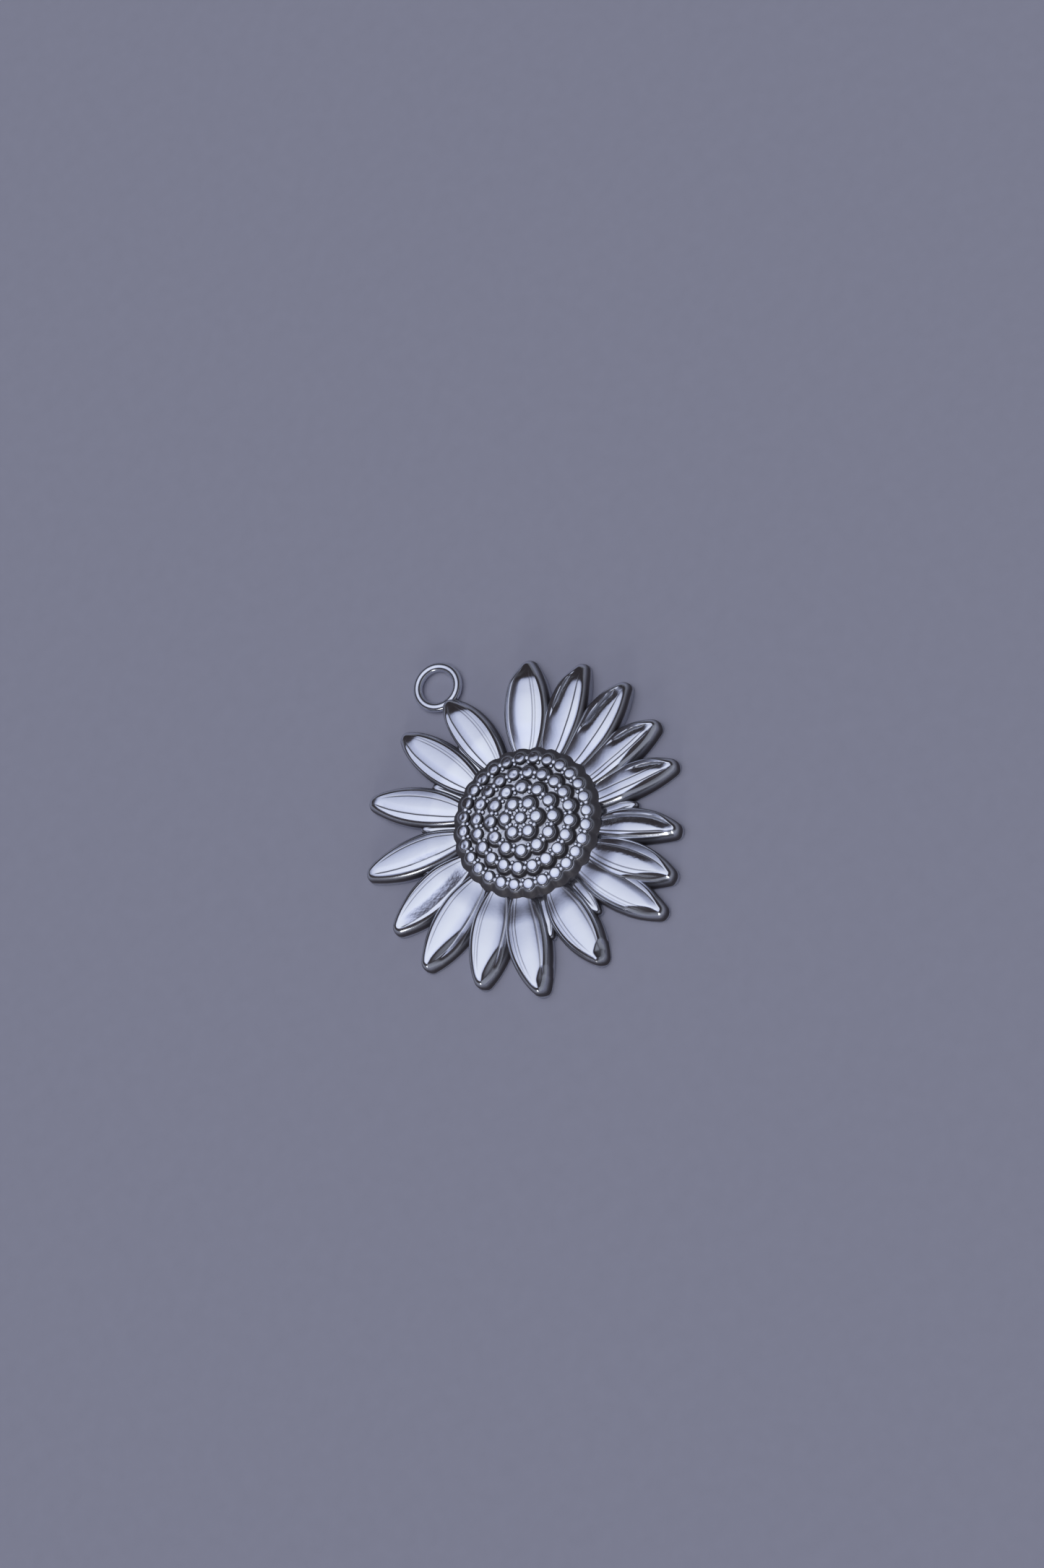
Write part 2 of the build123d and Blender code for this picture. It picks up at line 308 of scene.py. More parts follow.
# Mesh resolution
SIDE_ROWS = 76
NOSE_ROWS = 7
ROW_CROWDING = 1.15  # how much the rows crowd towards the tip
NOSE_PULL = 4  # how late the rows bend round to the nose's shape
SHOULDER_ROWS = 7
EVEN_COLUMNS = 37
SEED_SEGMENTS = 28
GRAIN_SEGMENTS = 14
DISC_COLUMNS = 840
BACK_COLUMNS = 1440
LOOP_SEGMENTS = 160
WIRE_SEGMENTS = 40
PETAL_SHARP = 40  # edges that turn by more degrees than this stay sharp
ROUND_SHARP = 60
BACK_SHARP = 30

# The fine columns of a petal's grid, at its lines and its hollow, in shares of the way across it
COLUMN_MARGIN = 0.01  # none lies nearer to an edge
LEAST_GAP = 0.004  # or nearer to another
EVEN_GAP = 0.012  # an even column this near to a fine one is left out
LINE_STEP = 0.008
LINE_STEPS = 6  # on each side of a line
HOLLOW_STEPS = (-0.12, -0.09, -0.06, -0.035, -0.015, 0)
RISE_STEPS = (1 / 3, 2 / 3, 1, 1.5)  # in shares of the hollow's steep side

# Metal. The scales of the noises are per metre.
CLOUD_SCALE = 900
POLISH_RANGE = (0.75, 1.35)  # the shares of the metal's roughness between which clouds of polish vary it
# Where painted shade lies, the metal is less metallic and rougher
PAINTED_SHADE_METALLIC = 0.25
PAINTED_SHADE_ROUGHNESS = 0.5
CAST_ROUGHNESS = 0.10
RIPPLE_SCALE = 3000
RIPPLE_HEIGHT = 0.06

# Floor
FLOOR_SIDE = 0.6  # half its width, in metres
FLOOR_DROP = 0.01  # how far it is below the back
FLOOR_SHADES = (0.96, 1.04)
FLOOR_ROUGHNESS = 0.9
FLOOR_SHINE = 0.2
TOOTH_SCALE = 700

# Camera: how far it is from CAMERA_AIM, how far it leans from straight above it, how far that is turned
# about the upright, and its roll, in metres and degrees
CAMERA_AIM = Vector((0.001397, 0.003921, 0))
CAMERA_DISTANCE = 0.31162
CAMERA_TILT = 26.5
CAMERA_HEADING = 15.785
CAMERA_ROLL = -51.5
CAMERA_LENS = 80
SENSOR_WIDTH = 36

# Light: rings of the sky about SKY_AIM, brighter on the side away from SIDE_AIM, and a small low lamp
SKY_AIM = Vector((-0.10, 0.17, 0.98))
SkyStop = namedtuple("SkyStop", "degrees_out color")
SKY_STOPS = [
    SkyStop(0, (0.91, 0.94, 1.00)),
    SkyStop(15, (0.82, 0.85, 0.96)),
    SkyStop(27, (0.62, 0.66, 0.83)),
    SkyStop(34, (0.36, 0.39, 0.54)),
    SkyStop(40, (0.040, 0.034, 0.038)),
    SkyStop(62, (0.032, 0.027, 0.029)),
    SkyStop(80, (0.22, 0.23, 0.27)),
    SkyStop(100, (0.26, 0.27, 0.31)),
]
SIDE_AIM = Vector((0.7, 0.7, 0))
SIDE_FROM = -0.4
SIDE_TO = 0.6
SIDE_BRIGHT = 1.12
SIDE_DIM = 0.80
LAMP_AIM = Vector((-0.60, -0.75, 0.28))
LAMP_SIZE = 7.0  # from its middle to its edge, in degrees
LAMP_STRENGTH = 3.0
LAMP_EDGE = 1.3  # how far out its light fades, as a share of its size


class PendantSettings(bpy.types.PropertyGroup):
    """Sizes, colours and light that a user would change."""

    shoulder: bpy.props.FloatProperty(
        name="Shoulder",
        description="Width of the rounded edge of a petal",
        default=0.55 * MM,
        min=0.05 * MM,
        max=0.7 * MM,
        subtype="DISTANCE",
        unit="LENGTH",
    )
    groove_depth: bpy.props.FloatProperty(
        name="Groove depth",
        description="Depth of the engraved line on a petal",
        default=0.035 * MM,
        min=0,
        max=0.2 * MM,
        subtype="DISTANCE",
        unit="LENGTH",
    )
    hollow_scale: bpy.props.FloatProperty(
        name="Hollow depth",
        description="How deep the hollows beside the petals' raised rims are, against the made ones",
        default=1,
        min=0,
        max=2,
        subtype="FACTOR",
    )
    metal_color: bpy.props.FloatVectorProperty(
        name="Metal colour",
        description="Colour of the polished metal",
        default=(0.77, 0.795, 0.86),
        min=0,
        max=1,
        size=3,
        subtype="COLOR",
    )
    # The colour of the painted shade on edges, walls, lines, hollows and the disc's steps
    painted_shade_color: bpy.props.FloatVectorProperty(
        name="Recess colour",
        description="Colour of the darkened metal in the recesses",
        default=(0.09, 0.077, 0.08),
        min=0,
        max=1,
        size=3,
        subtype="COLOR",
    )
    metal_roughness: bpy.props.FloatProperty(
        name="Metal roughness",
        description="How soft the reflections of the polished metal are",
        default=0.16,
        min=0,
        max=1,
        subtype="FACTOR",
    )
    floor_color: bpy.props.FloatVectorProperty(
        name="Floor colour",
        description="Colour of the plain floor",
        default=(0.66, 0.66, 0.76),
        min=0,
        max=1,
        size=3,
        subtype="COLOR",
    )
    sky_strength: bpy.props.FloatProperty(
        name="Soft light",
        description="Strength of the soft light overhead",
        default=1.05,
        min=0,
        max=10,
    )


def polar(radius, direction):
    """The point at this distance from the middle, in this direction in degrees."""
    return np.array([radius * cos(radians(direction)), radius * sin(radians(direction))])


def smooth(t):
    """0 below 0, 1 above 1 and an even S between."""
    t = np.clip(t, 0, 1)
    return t * t * (3 - 2 * t)


def ramp_up(distance, softness):
    """0 before 0 and the distance itself beyond, with a soft bend between."""
    return (distance + np.sqrt(distance**2 + softness**2)) / 2


def bell(distance, width):
    """1 at distance 0, falling off evenly over about this width."""
    return np.exp(-((distance / width) ** 2))


class Blade:
    """A petal's plan and top, in its own frame: x from root to tip, y towards its anticlockwise edge."""

    def __init__(self, petal, finish, width, height, nose, shoulder, hollow_scale=1):
        self.petal = petal
        self.finish = finish
        self.nose = nose
        self.shoulder = shoulder
        self.insets = {-1: shoulder, 1: shoulder * finish.rim}
        self.hollow_scale = hollow_scale
        self.root = polar(ROOT_RADIUS, petal.root_deg)
        tip = polar(petal.reach * FLOWER_RADIUS, petal.tip_deg)
        self.length = float(np.hypot(*(tip - self.root)))
        self.along = (tip - self.root) / self.length
        self.across = np.array([-self.along[1], self.along[0]])
        self.half = petal.width * width / 2
        self.height = height
        self.widest = WIDEST_AT * self.length
        self.middle = self.length - nose
        span = self.middle - self.widest
        self.sides = {}
        for side in (-1, 1):
            half = self.half * (1 + side * petal.bow)
            radius = (half**2 + span**2 - nose**2) / (2 * (half - nose))
            self.sides[side] = (half, radius, span / (radius - nose))

    def boundary(self, side):
        """Points, outward normals and insets from the root to the corner on the nose, inside the outline."""
        half, radius, lean = self.sides[side]
        start = np.arcsin(-self.widest / (radius - self.insets[side]))
        stop = np.arcsin(lean)
        share = np.linspace(0, 1, SIDE_ROWS + 1)
        widening = smooth((share - RIM_END) / (1 - RIM_END))
        inset = self.insets[side] + (self.shoulder - self.insets[side]) * widening
        turn = start + (stop - start) * (1 - (1 - share) ** ROW_CROWDING)
        normals = np.stack([np.sin(turn), side * np.cos(turn)], axis=1)
        points = np.array([self.widest, side * (half - radius)]) + (radius - inset)[:, None] * normals
        corner = pi / 2 - NOSE_CORNER
        turn = np.linspace(stop, corner, NOSE_ROWS + 1)[1:]
        nose_normals = np.stack([np.sin(turn), side * np.cos(turn)], axis=1)
        nose = np.array([self.middle, 0]) + (self.nose - self.shoulder) * nose_normals
        inset = np.concatenate([inset, np.full(NOSE_ROWS, self.shoulder)])
        return np.vstack([points, nose]), np.vstack([normals, nose_normals]), inset

    def edge_at(self, side, x):
        """The y of the outline on this side."""
        half, radius, _ = self.sides[side]
        return side * (half - radius + np.sqrt(np.maximum(radius**2 - (x - self.widest) ** 2, 0)))

    def covers(self, points, inset):
        """Which of these points of the plan lie inside the outline, this far from it or more."""
        off = points - self.root
        x = off @ self.along
        y = off @ self.across
        inside = x > 0
        for side in (-1, 1):
            half, radius, lean = self.sides[side]
            from_centre = np.hypot(x - self.widest, y - side * (half - radius))
            past_join = x > self.widest + radius * lean
            inside &= past_join | (from_centre < radius - inset)
            inside &= ~past_join | (np.hypot(x - self.middle, y) < self.nose - inset)
        return inside

    def place_of(self, share):
        """The share of the way across the inset outline where a line at this share of half the width runs."""
        return ((share + 1) * self.half - self.insets[-1]) / self.inner_width()

    def inner_width(self):
        """How far it is across between the rounded edges where the petal is widest."""
        return 2 * self.half - self.insets[-1] - self.insets[1]

    def top_at(self, x, y):
        """The height of the plain top: crowned, lower at root and tip, with a facet along one side."""
        petal = self.petal
        finish = self.finish
        share = x / self.length
        fall = (x - CREST_AT * self.length) ** 2 / (2 * FALL_RADIUS)
        crown = (y - petal.crest * self.half) ** 2 / (2 * CROWN_RADIUS)
        past = x - (self.length - finish.tip_start) - finish.tip_skew * y
        tip = finish.tip_slope * ramp_up(past, TIP_SOFTNESS)
        dip = ROOT_DIP * (1 - smooth((x - ROOT_DIP_FROM) / ROOT_DIP_LENGTH))
        outer = smooth((share - LIFT_FROM) / LIFT_LENGTH)
        lift = petal.lift * (LIFT_HEIGHT * ROOT_LIFT + (LIFT_HEIGHT + OUTER_LIFT) * outer)
        facet = 0
        if finish.side:
            low = self.edge_at(-1, x)
            valley = low + (petal.valley + 1) / 2 * (self.edge_at(1, x) - low)
            start = valley if finish.side > 0 else low + self.shoulder
            part = np.clip((share - finish.side_from) / (FACET_FULL_AT - finish.side_from), 0, 1)
            line = start + (finish.side_y - start) * part
            held = np.minimum(y, valley) + RIM_SLOPE * np.maximum(y - valley, 0)
            facet = FACET_SLOPE * ramp_up(finish.side * (held - line), FACET_SOFTNESS)
        return self.height - fall - crown - tip - dip - facet + lift

    def relief_at(self, x, place, width, line_depth):
        """How far lines and hollow go down at this share of the way across, how dark painted shade makes it
        and how rough it is.
        """
        finish = self.finish
        share = x / self.length
        off = (place - self.place_of(self.petal.groove)) * width
        lines = bell(off, LINE_WIDTH)
        if finish.second:
            lines = lines + SECOND_DEPTH * bell(off + finish.second, LINE_WIDTH)
        lines = lines * finish.dark * smooth((LINE_END - share) / LINE_FADE)
        held = smooth((share - finish.start) / HOLLOW_RAMP + 0.5)
        held = held * smooth((finish.stop - share) / HOLLOW_RAMP + 0.5)
        whole = held if finish.start > HOLLOW_LATE else 1
        plain = min(HOLLOW_PLAIN, finish.hollow)
        slope = plain * whole + (finish.hollow - plain) * held
        slope = slope * (HOLLOW_ROOT + (1 - HOLLOW_ROOT) * smooth(share / HOLLOW_ROOT_LENGTH))
        past = (place - self.place_of(self.petal.valley)) * width
        before = past <= 0
        inner = ramp_up(past + finish.reach, HOLLOW_SOFTNESS) * before
        outer = finish.reach * np.clip(1 - past / HOLLOW_RISE, 0, 1) * ~before
        cut = line_depth * lines + slope * self.hollow_scale * (inner + outer)
        # painted shade in the lines and at the foot of the hollow's steep side
        dark = lines + HOLLOW_DARK * bell(past - HOLLOW_DARK_AT, HOLLOW_DARK_WIDTH) * whole
        band = smooth((past + finish.reach) / HOLLOW_EDGE + 1) * before
        rough = PLAIN_TEXTURE + HOLLOW_TEXTURE * (finish.hollow > HOLLOW_ROUGH_FROM) * band * held
        fade = smooth((RELIEF_END - share) / RELIEF_FADE)
        return fade * cut, np.clip(fade * dark, 0, 1), rough


def column_places(blade):
    """Where a petal's columns run, as shares of the way from its clockwise to its anticlockwise edge."""
    inner_width = blade.inner_width()
    lines = [blade.place_of(blade.petal.groove)]
    if blade.finish.second:
        lines.append(lines[0] - blade.finish.second / inner_width)
    steps = range(-LINE_STEPS, LINE_STEPS + 1)
    fine = [line + step * LINE_STEP for line in lines for step in steps]
    bottom = blade.place_of(blade.petal.valley)
    fine += [bottom + step for step in HOLLOW_STEPS]
    fine += [bottom + step * HOLLOW_RISE / inner_width for step in RISE_STEPS]
    taken = []
    for place in sorted(fine):
        if COLUMN_MARGIN < place < 1 - COLUMN_MARGIN and (not taken or place - taken[-1] > LEAST_GAP):
            taken.append(place)
    even = np.linspace(0, 1, EVEN_COLUMNS)
    spare = [place for place in even if all(abs(place - other) > EVEN_GAP for other in taken)]
    return np.array(sorted(spare + taken))


def marked(count, recess, texture):
    """The same two marks for this many points: how dark painted shade makes the metal and how rough its cast
    skin.
    """
    return np.column_stack([np.full(count, float(recess)), np.full(count, float(texture))])


def top_plan(blade, places, low, high):
    """The plan of the grid over a petal's top, from root to nose and edge to edge, and the nose's normals."""
    turn = NOSE_CORNER * (2 * places - 1)
    nose_out = np.stack([np.cos(turn), np.sin(turn)], axis=1)
    nose = np.array([blade.middle, 0]) + (blade.nose - blade.shoulder) * nose_out
    across = places[None, :, None]
    straight = low[:, None] * (1 - across) + high[:, None] * across
    up = np.linspace(0, 1, len(low))[:, None, None]
    return straight + (nose - straight[-1]) * up**NOSE_PULL, nose_out


def edge_rings(blade, edge, out, inset):
    """Rings of points and their marks, from the edge of a petal's top over its shoulder and down its wall."""
    inside = edge[:, :2] - out * EDGE_PROBE
    lean = np.arctan((blade.top_at(*inside.T) - blade.top_at(*edge[:, :2].T)) / EDGE_PROBE)
    radius = inset / (1 - np.sin(lean))
    whole = radius * np.cos(lean) * SHOULDER_FALL
    fall = SHOULDER_FALL * np.minimum(1, (edge[:, 2] - PETAL_FOOT - WALL_LEAST) / whole)
    rings = []
    marks = []
    for row in range(1, SHOULDER_ROWS + 1):
        share = row / SHOULDER_ROWS
        turn = lean + (pi / 2 - lean) * share
        reach = radius * (np.sin(turn) - np.sin(lean))
        drop = radius * (np.cos(lean) - np.cos(turn)) * fall
        rings.append(edge + np.column_stack([out * reach[:, None], -drop]))
        # painted shade on the rounded edge, deeper towards its foot
        dark = EDGE_PAINTED_SHADE * smooth((share - EDGE_DARK_FROM) / EDGE_DARK_LENGTH)
        marks.append(marked(len(edge), dark, PLAIN_TEXTURE))
    foot = rings[-1]
    for ring in WALL_RINGS:
        height = foot[:, 2] + (PETAL_FOOT - foot[:, 2]) * ring.share
        rings.append(np.column_stack([foot[:, :2] + out * WALL_FLARE * ring.flare, height]))
        # painted shade on the wall
        marks.append(marked(len(edge), WALL_PAINTED_SHADE, PLAIN_TEXTURE))
    return rings, marks


def blade_form(blade, line_depth):
    """One petal as a closed form: a grid over its top, rings round its shoulder, a wall and a flat back."""
    places = column_places(blade)
    low, low_out, low_inset = blade.boundary(-1)
    high, high_out, high_inset = blade.boundary(1)
    plan, nose_out = top_plan(blade, places, low, high)
    x = plan[..., 0]
    y = plan[..., 1]
    width = np.linalg.norm(high - low, axis=1)[:, None]
    cut, dark, rough = blade.relief_at(x, np.broadcast_to(places, x.shape), width, line_depth)
    z = blade.top_at(x, y) - cut
    top = np.stack([x.ravel(), y.ravel(), z.ravel()], axis=1)
    index = np.arange(x.size).reshape(x.shape)
    rim = np.concatenate([index[:, 0], index[-1, 1:-1], index[::-1, -1]])
    out = np.concatenate([low_out, nose_out[1:-1], high_out[::-1]])
    inset = np.concatenate([low_inset, np.full(len(places) - 2, blade.shoulder), high_inset[::-1]])
    rings, ring_marks = edge_rings(blade, top[rim], out, inset)
    loops = [rim] + [x.size + row * len(rim) + np.arange(len(rim)) for row in range(len(rings))]
    corners = [index[:-1, :-1], index[1:, :-1], index[1:, 1:], index[:-1, 1:]]
    quads = [np.stack(corners, axis=-1).reshape(-1, 4)]
    for above, below in zip(loops[:-1], loops[1:]):
        quads.append(np.stack([above[1:], below[1:], below[:-1], above[:-1]], axis=1))
    faces = np.vstack(quads).tolist()
    faces.append(loops[-1].tolist())
    ends = [loop[0] for loop in loops[1:]] + [loop[-1] for loop in loops[:0:-1]]
    faces.append([int(corner) for corner in [*index[0, ::-1], *ends]])
    verts = np.vstack([top, *rings])
    spread = blade.root + verts[:, :1] * blade.along + verts[:, 1:2] * blade.across
    marks = np.vstack([np.column_stack([dark.ravel(), rough.ravel()]), *ring_marks])
    return np.column_stack([spread, verts[:, 2]]), faces, marks


def merged(forms):
    """The points, faces and marks of several forms as one."""
    verts = []
    faces = []
    marks = []
    count = 0
    for points, polygons, values in forms:
        verts.append(points)
        faces.extend([[count + corner for corner in face] for face in polygons])
        marks.append(values)
        count += len(points)
    return np.vstack(verts), faces, np.vstack(marks)


def capped_shell(rows, top, foot):
    """Points and faces of a closed form: rings of points from the top down, with a point at each end."""
    count = len(rows[0])
    last = (len(rows) - 1) * count
    peak = last + count
    faces = []
    for i in range(count):
        j = (i + 1) % count
        faces.append([i, j, peak])
        for row in range(0, last, count):
            faces.append([row + i, row + count + i, row + count + j, row + j])
        faces.append([last + j, last + i, peak + 1])
    return np.vstack([*rows, top, foot]), faces


def lathe(profile, segments, centre, tilt=(0, 0, 1), stretch=1, turn=0):
    """A closed turned form. profile runs from the foot to the top, where its radius is 0."""
    angles = np.arange(segments) * tau / segments
    rows = []
    for radius, height, _ in profile[-2::-1]:
        x = radius * np.cos(angles) * stretch
        y = radius * np.sin(angles)
        rows.append(np.column_stack([x, y, np.full(segments, height)]))
    verts, faces = capped_shell(rows, (0, 0, profile[-1].height), (0, 0, profile[0].height))
    turned = Matrix.Rotation(radians(turn), 3, "Z")
    aim = Vector((0, 0, 1)).rotation_difference(Vector(tilt)).to_matrix()
    verts = verts @ np.array(aim @ turned).T + np.array(centre)
    marks = [marked(segments, row.recess, SEED_TEXTURE) for row in profile[-2::-1]]
    marks += [marked(1, row.recess, SEED_TEXTURE) for row in (profile[-1], profile[0])]
    return verts, faces, np.vstack(marks)


def dented(form, place, depth):
    """The same form with a shallow round dent pressed into it from above at this place."""
    verts, faces, marks = form
    off = np.hypot(verts[:, 0] - place[0], verts[:, 1] - place[1])
    lowered = verts.copy()
    lowered[:, 2] -= depth * bell(off, DENT_WIDTH)
    return lowered, faces, marks


def terrace_edge(turn, number, lobe, web):
    """How far out a terrace reaches at each direction: round lobes about its seeds, joined by a web."""
    radius = number * SEED_PITCH
    step = tau / SEED_RINGS[number].seeds
    apart = (turn - radians(SEED_PHASE) + step / 2) % step - step / 2
    reach = radius * np.cos(apart) + np.sqrt(np.maximum(lobe**2 - (radius * np.sin(apart)) ** 2, 0))
    base = radius + web
    return 0.5 * (reach + base + np.sqrt((reach - base) ** 2 + LOBE_BLEND**2))


def disc_form():
    """The stepped disc: a grid of columns round it whose rows follow the lobed edge of each terrace."""
    turn = np.arange(DISC_COLUMNS) * tau / DISC_COLUMNS
    even = np.ones(DISC_COLUMNS)
    floors = [DISC_HEIGHT * (1 - ring.drop) for ring in SEED_RINGS]
    outermost = len(SEED_RINGS) - 1
    steps = [(CENTRE_RING * even, DISC_HEIGHT, FLOOR_DARK)]
    for number in range(1, outermost + 1):
        floor = floors[number]
        edge = terrace_edge(turn, number, LOBE_TOP, WEB_TOP)
        if number < outermost:
            foot = terrace_edge(turn, number, LOBE_FOOT, WEB_FOOT)
            below = floors[number + 1]
            wall = WALL_DARK
        else:
            foot = terrace_edge(turn, number, SKIRT_LOBE, SKIRT_WEB)
            below = SKIRT_FOOT
            wall = SKIRT_PAINTED_SHADE
        before = steps[-1][0]
        for share in FLOOR_SHARES:
            steps.append((before + (edge - before) * share, floor, FLOOR_DARK))
        for share in WALL_SHARES:
            drop = (1 - WALL_CURVE) * share + WALL_CURVE * smooth(share)
            # painted shade, darkening down each wall
            dark = FLOOR_DARK + (wall - FLOOR_DARK) * smooth(share / WALL_DARK_LENGTH)
            steps.append((edge + (foot - edge) * share, floor + (below - floor) * drop, dark))
    steps.append((steps[-1][0], DISC_BURY, 1.0))
    rows = [np.column_stack([reach * np.cos(turn), reach * np.sin(turn), z * even]) for reach, z, _ in steps]
    verts, faces = capped_shell(rows, (0, 0, DISC_HEIGHT), (0, 0, DISC_BURY))
    marks = [marked(DISC_COLUMNS, dark, CAST_TEXTURE) for _, _, dark in steps] + [marked(2, 1, CAST_TEXTURE)]
    return verts, faces, np.vstack(marks)


def grain(radius, direction, size, floor, stretch=1):
    """One round grain of this radius, standing on a floor."""
    spot = polar(radius, direction)
    profile = [Turn(row.radius * size, row.height * size, row.recess) for row in GRAIN_PROFILE]
    return lathe(profile, GRAIN_SEGMENTS, (spot[0], spot[1], floor), stretch=stretch, turn=direction)


def seed_forms():
    """Every seed and grain as its own closed form."""
    chance = np.random.default_rng(CHANCE_SEED)
    forms = []
    for number, ring in enumerate(SEED_RINGS):
        floor = DISC_HEIGHT * (1 - ring.drop)
        radius = number * SEED_PITCH
        step = 360 / ring.seeds
        for place in range(ring.seeds):
            heading = SEED_PHASE + place * step
            spot = polar(radius + chance.normal(0, SEED_SCATTER), heading + chance.normal(0, SEED_STRAY))
            out = polar(1, heading)
            lean = radians(ring.lean + chance.normal(0, LEAN_STRAY))
            tilt = (out[0] * sin(lean), out[1] * sin(lean), cos(lean))
            size = 1 + chance.normal(0, SIZE_STRAY)
            profile = [Turn(row.radius * size, row.height, row.recess) for row in SEED_PROFILE]
            seed = lathe(profile, SEED_SEGMENTS, (spot[0], spot[1], floor - SEED_SINK), tilt)
            worn = smooth(cos(radians(heading - WORN_HEADING)) / WORN_SPREAD) * (number > 1)
            dent = spot + polar(chance.uniform(*DENT_OFF), chance.uniform(0, 360))
            forms.append(dented(seed, dent, worn * DENT_DEPTH * chance.uniform(DENT_LEAST, 1)))
            if number == 0:
                continue
            between = heading + step / 2 + chance.normal(0, GRAIN_STRAY)
            forms.append(grain(radius + chance.normal(0, GRAIN_SCATTER), between, ring.grain, floor))
            if number == 1:
                stray = chance.normal(0, CENTRE_GRAIN.stray)
                forms.append(grain(CENTRE_GRAIN.place, heading + stray, CENTRE_GRAIN.size, floor))
                forms.append(grain(SLOT_GRAIN.place, between, SLOT_GRAIN.size, floor, SLOT_GRAIN.stretch))
            else:
                stray = chance.normal(0, INNER_GRAIN.stray)
                forms.append(grain(radius + INNER_GRAIN.place, between + stray, INNER_GRAIN.size, floor))
    return forms


def loop_form():
    """The ring of round wire, its eye turned true for a short stretch."""
    wire = WIRE_DIAMETER / 2
    middle = EYE_DIAMETER / 2 + sqrt(wire**2 - (EYE_LAND / 2) ** 2)
    tip = polar(PETALS[0].reach * FLOWER_RADIUS, PETALS[0].tip_deg)
    centre = np.array([tip[0], tip[1] + middle + wire - LOOP_OVERLAP, wire])
    around = np.arange(LOOP_SEGMENTS) * tau / LOOP_SEGMENTS
    across = np.arange(WIRE_SEGMENTS) * tau / WIRE_SEGMENTS
    a, b = np.meshgrid(around, across, indexing="ij")
    reach = np.maximum(middle + wire * np.cos(b), EYE_DIAMETER / 2)
    verts = np.stack([reach * np.cos(a), reach * np.sin(a), wire * np.sin(b)], axis=-1)
    verts = verts.reshape(-1, 3) + centre
    index = np.arange(len(verts)).reshape(LOOP_SEGMENTS, WIRE_SEGMENTS)
    ahead = np.roll(index, -1, axis=0)
    corners = [index, ahead, np.roll(ahead, -1, axis=1), np.roll(index, -1, axis=1)]
    faces = np.stack(corners, axis=-1).reshape(-1, 4).tolist()
    return verts, faces, marked(len(verts), 0, PLAIN_TEXTURE)


def back_form(blades):
    """The flat back: a thin plate as wide in each direction as the petals reach without a gap."""
    turn = np.arange(BACK_COLUMNS) * tau / BACK_COLUMNS
    heading = np.stack([np.cos(turn), np.sin(turn)], axis=1)
    radii = np.arange(HUB_RADIUS, FLOWER_RADIUS + BACK_STEP, BACK_STEP)
    points = heading[:, None] * radii[None, :, None]
    covered = np.zeros(points.shape[:2], dtype=bool)
    for blade in blades:
        covered |= blade.covers(points, BACK_INSET)
    covered[:, 0] = True
    covered[:, -1] = False
    reach = radii[np.argmin(covered, axis=1) - 1]
    rows = []
    for share, height in ((0.0, BACK_HEIGHT), (1.0, BACK_HEIGHT), (1.0, 0.0), (0.0, 0.0)):
        radius = HUB_RADIUS / 2 + (reach - HUB_RADIUS / 2) * share
        rows.append(np.column_stack([heading * radius[:, None], np.full(BACK_COLUMNS, height)]))
    verts, faces = capped_shell(rows, (0, 0, BACK_HEIGHT), (0, 0, 0))
    return verts, faces, marked(len(verts), 0, SEED_TEXTURE)


def add_node(tree, kind, values=None, **settings):
    """A new node of this kind, with its settings and the values of its sockets."""
    node = tree.nodes.new(kind)
    for name, value in settings.items():
        setattr(node, name, value)
    for socket, value in (values or {}).items():
        node.inputs[socket].default_value = value
    return node


def link(tree, source, socket, target, inlet):
    """Join one node's output to another's input and give back the target."""
    tree.links.new(source.outputs[socket], target.inputs[inlet])
    return target


def metal_material(settings):
    """Polished cast metal, dark and dull where painted shade lies, with the fine marks of polishing."""
    material = bpy.data.materials.new("polished_metal")
    material.use_nodes = True
    tree = material.node_tree
    tree.nodes.clear()
    out = add_node(tree, "ShaderNodeOutputMaterial")
    shader = add_node(tree, "ShaderNodeBsdfPrincipled")
    link(tree, shader, "BSDF", out, "Surface")
    place = add_node(tree, "ShaderNodeTexCoord")
    # the painted shade, read from the points
    recess = add_node(tree, "ShaderNodeAttribute", attribute_name="recess")
    texture = add_node(tree, "ShaderNodeAttribute", attribute_name="texture")

    cloud = add_node(tree, "ShaderNodeTexNoise", {"Scale": CLOUD_SCALE, "Detail": 4})
    link(tree, place, "Object", cloud, "Vector")
    least, most = [settings.metal_roughness * share for share in POLISH_RANGE]
    polished = add_node(tree, "ShaderNodeMapRange", {"To Min": least, "To Max": most})
    link(tree, cloud, "Fac", polished, "Value")
    cast = add_node(tree, "ShaderNodeMath", {1: CAST_ROUGHNESS}, operation="MULTIPLY_ADD")
    link(tree, texture, "Fac", cast, 0)
    link(tree, polished, "Result", cast, 2)
    rough = add_node(tree, "ShaderNodeMix", {"B": PAINTED_SHADE_ROUGHNESS})
    link(tree, recess, "Fac", rough, "Factor")
    link(tree, cast, "Value", rough, "A")
    link(tree, rough, "Result", shader, "Roughness")

    bare = add_node(tree, "ShaderNodeMapRange", {"To Min": 1, "To Max": PAINTED_SHADE_METALLIC})
    link(tree, recess, "Fac", bare, "Value")
    link(tree, bare, "Result", shader, "Metallic")
    # the base colour turns to the painted shade colour where painted shade lies
    ends = {"A": (*settings.metal_color, 1), "B": (*settings.painted_shade_color, 1)}
    tone = add_node(tree, "ShaderNodeMix", ends, data_type="RGBA")
    link(tree, recess, "Fac", tone, "Factor")
    link(tree, tone, "Result", shader, "Base Color")

    ripple = add_node(tree, "ShaderNodeTexNoise", {"Scale": RIPPLE_SCALE, "Detail": 2})
    link(tree, place, "Object", ripple, "Vector")
    bump = add_node(tree, "ShaderNodeBump", {"Distance": RIPPLE_HEIGHT * MM})
    link(tree, texture, "Fac", bump, "Strength")
    link(tree, ripple, "Fac", bump, "Height")
    link(tree, bump, "Normal", shader, "Normal")
    return material


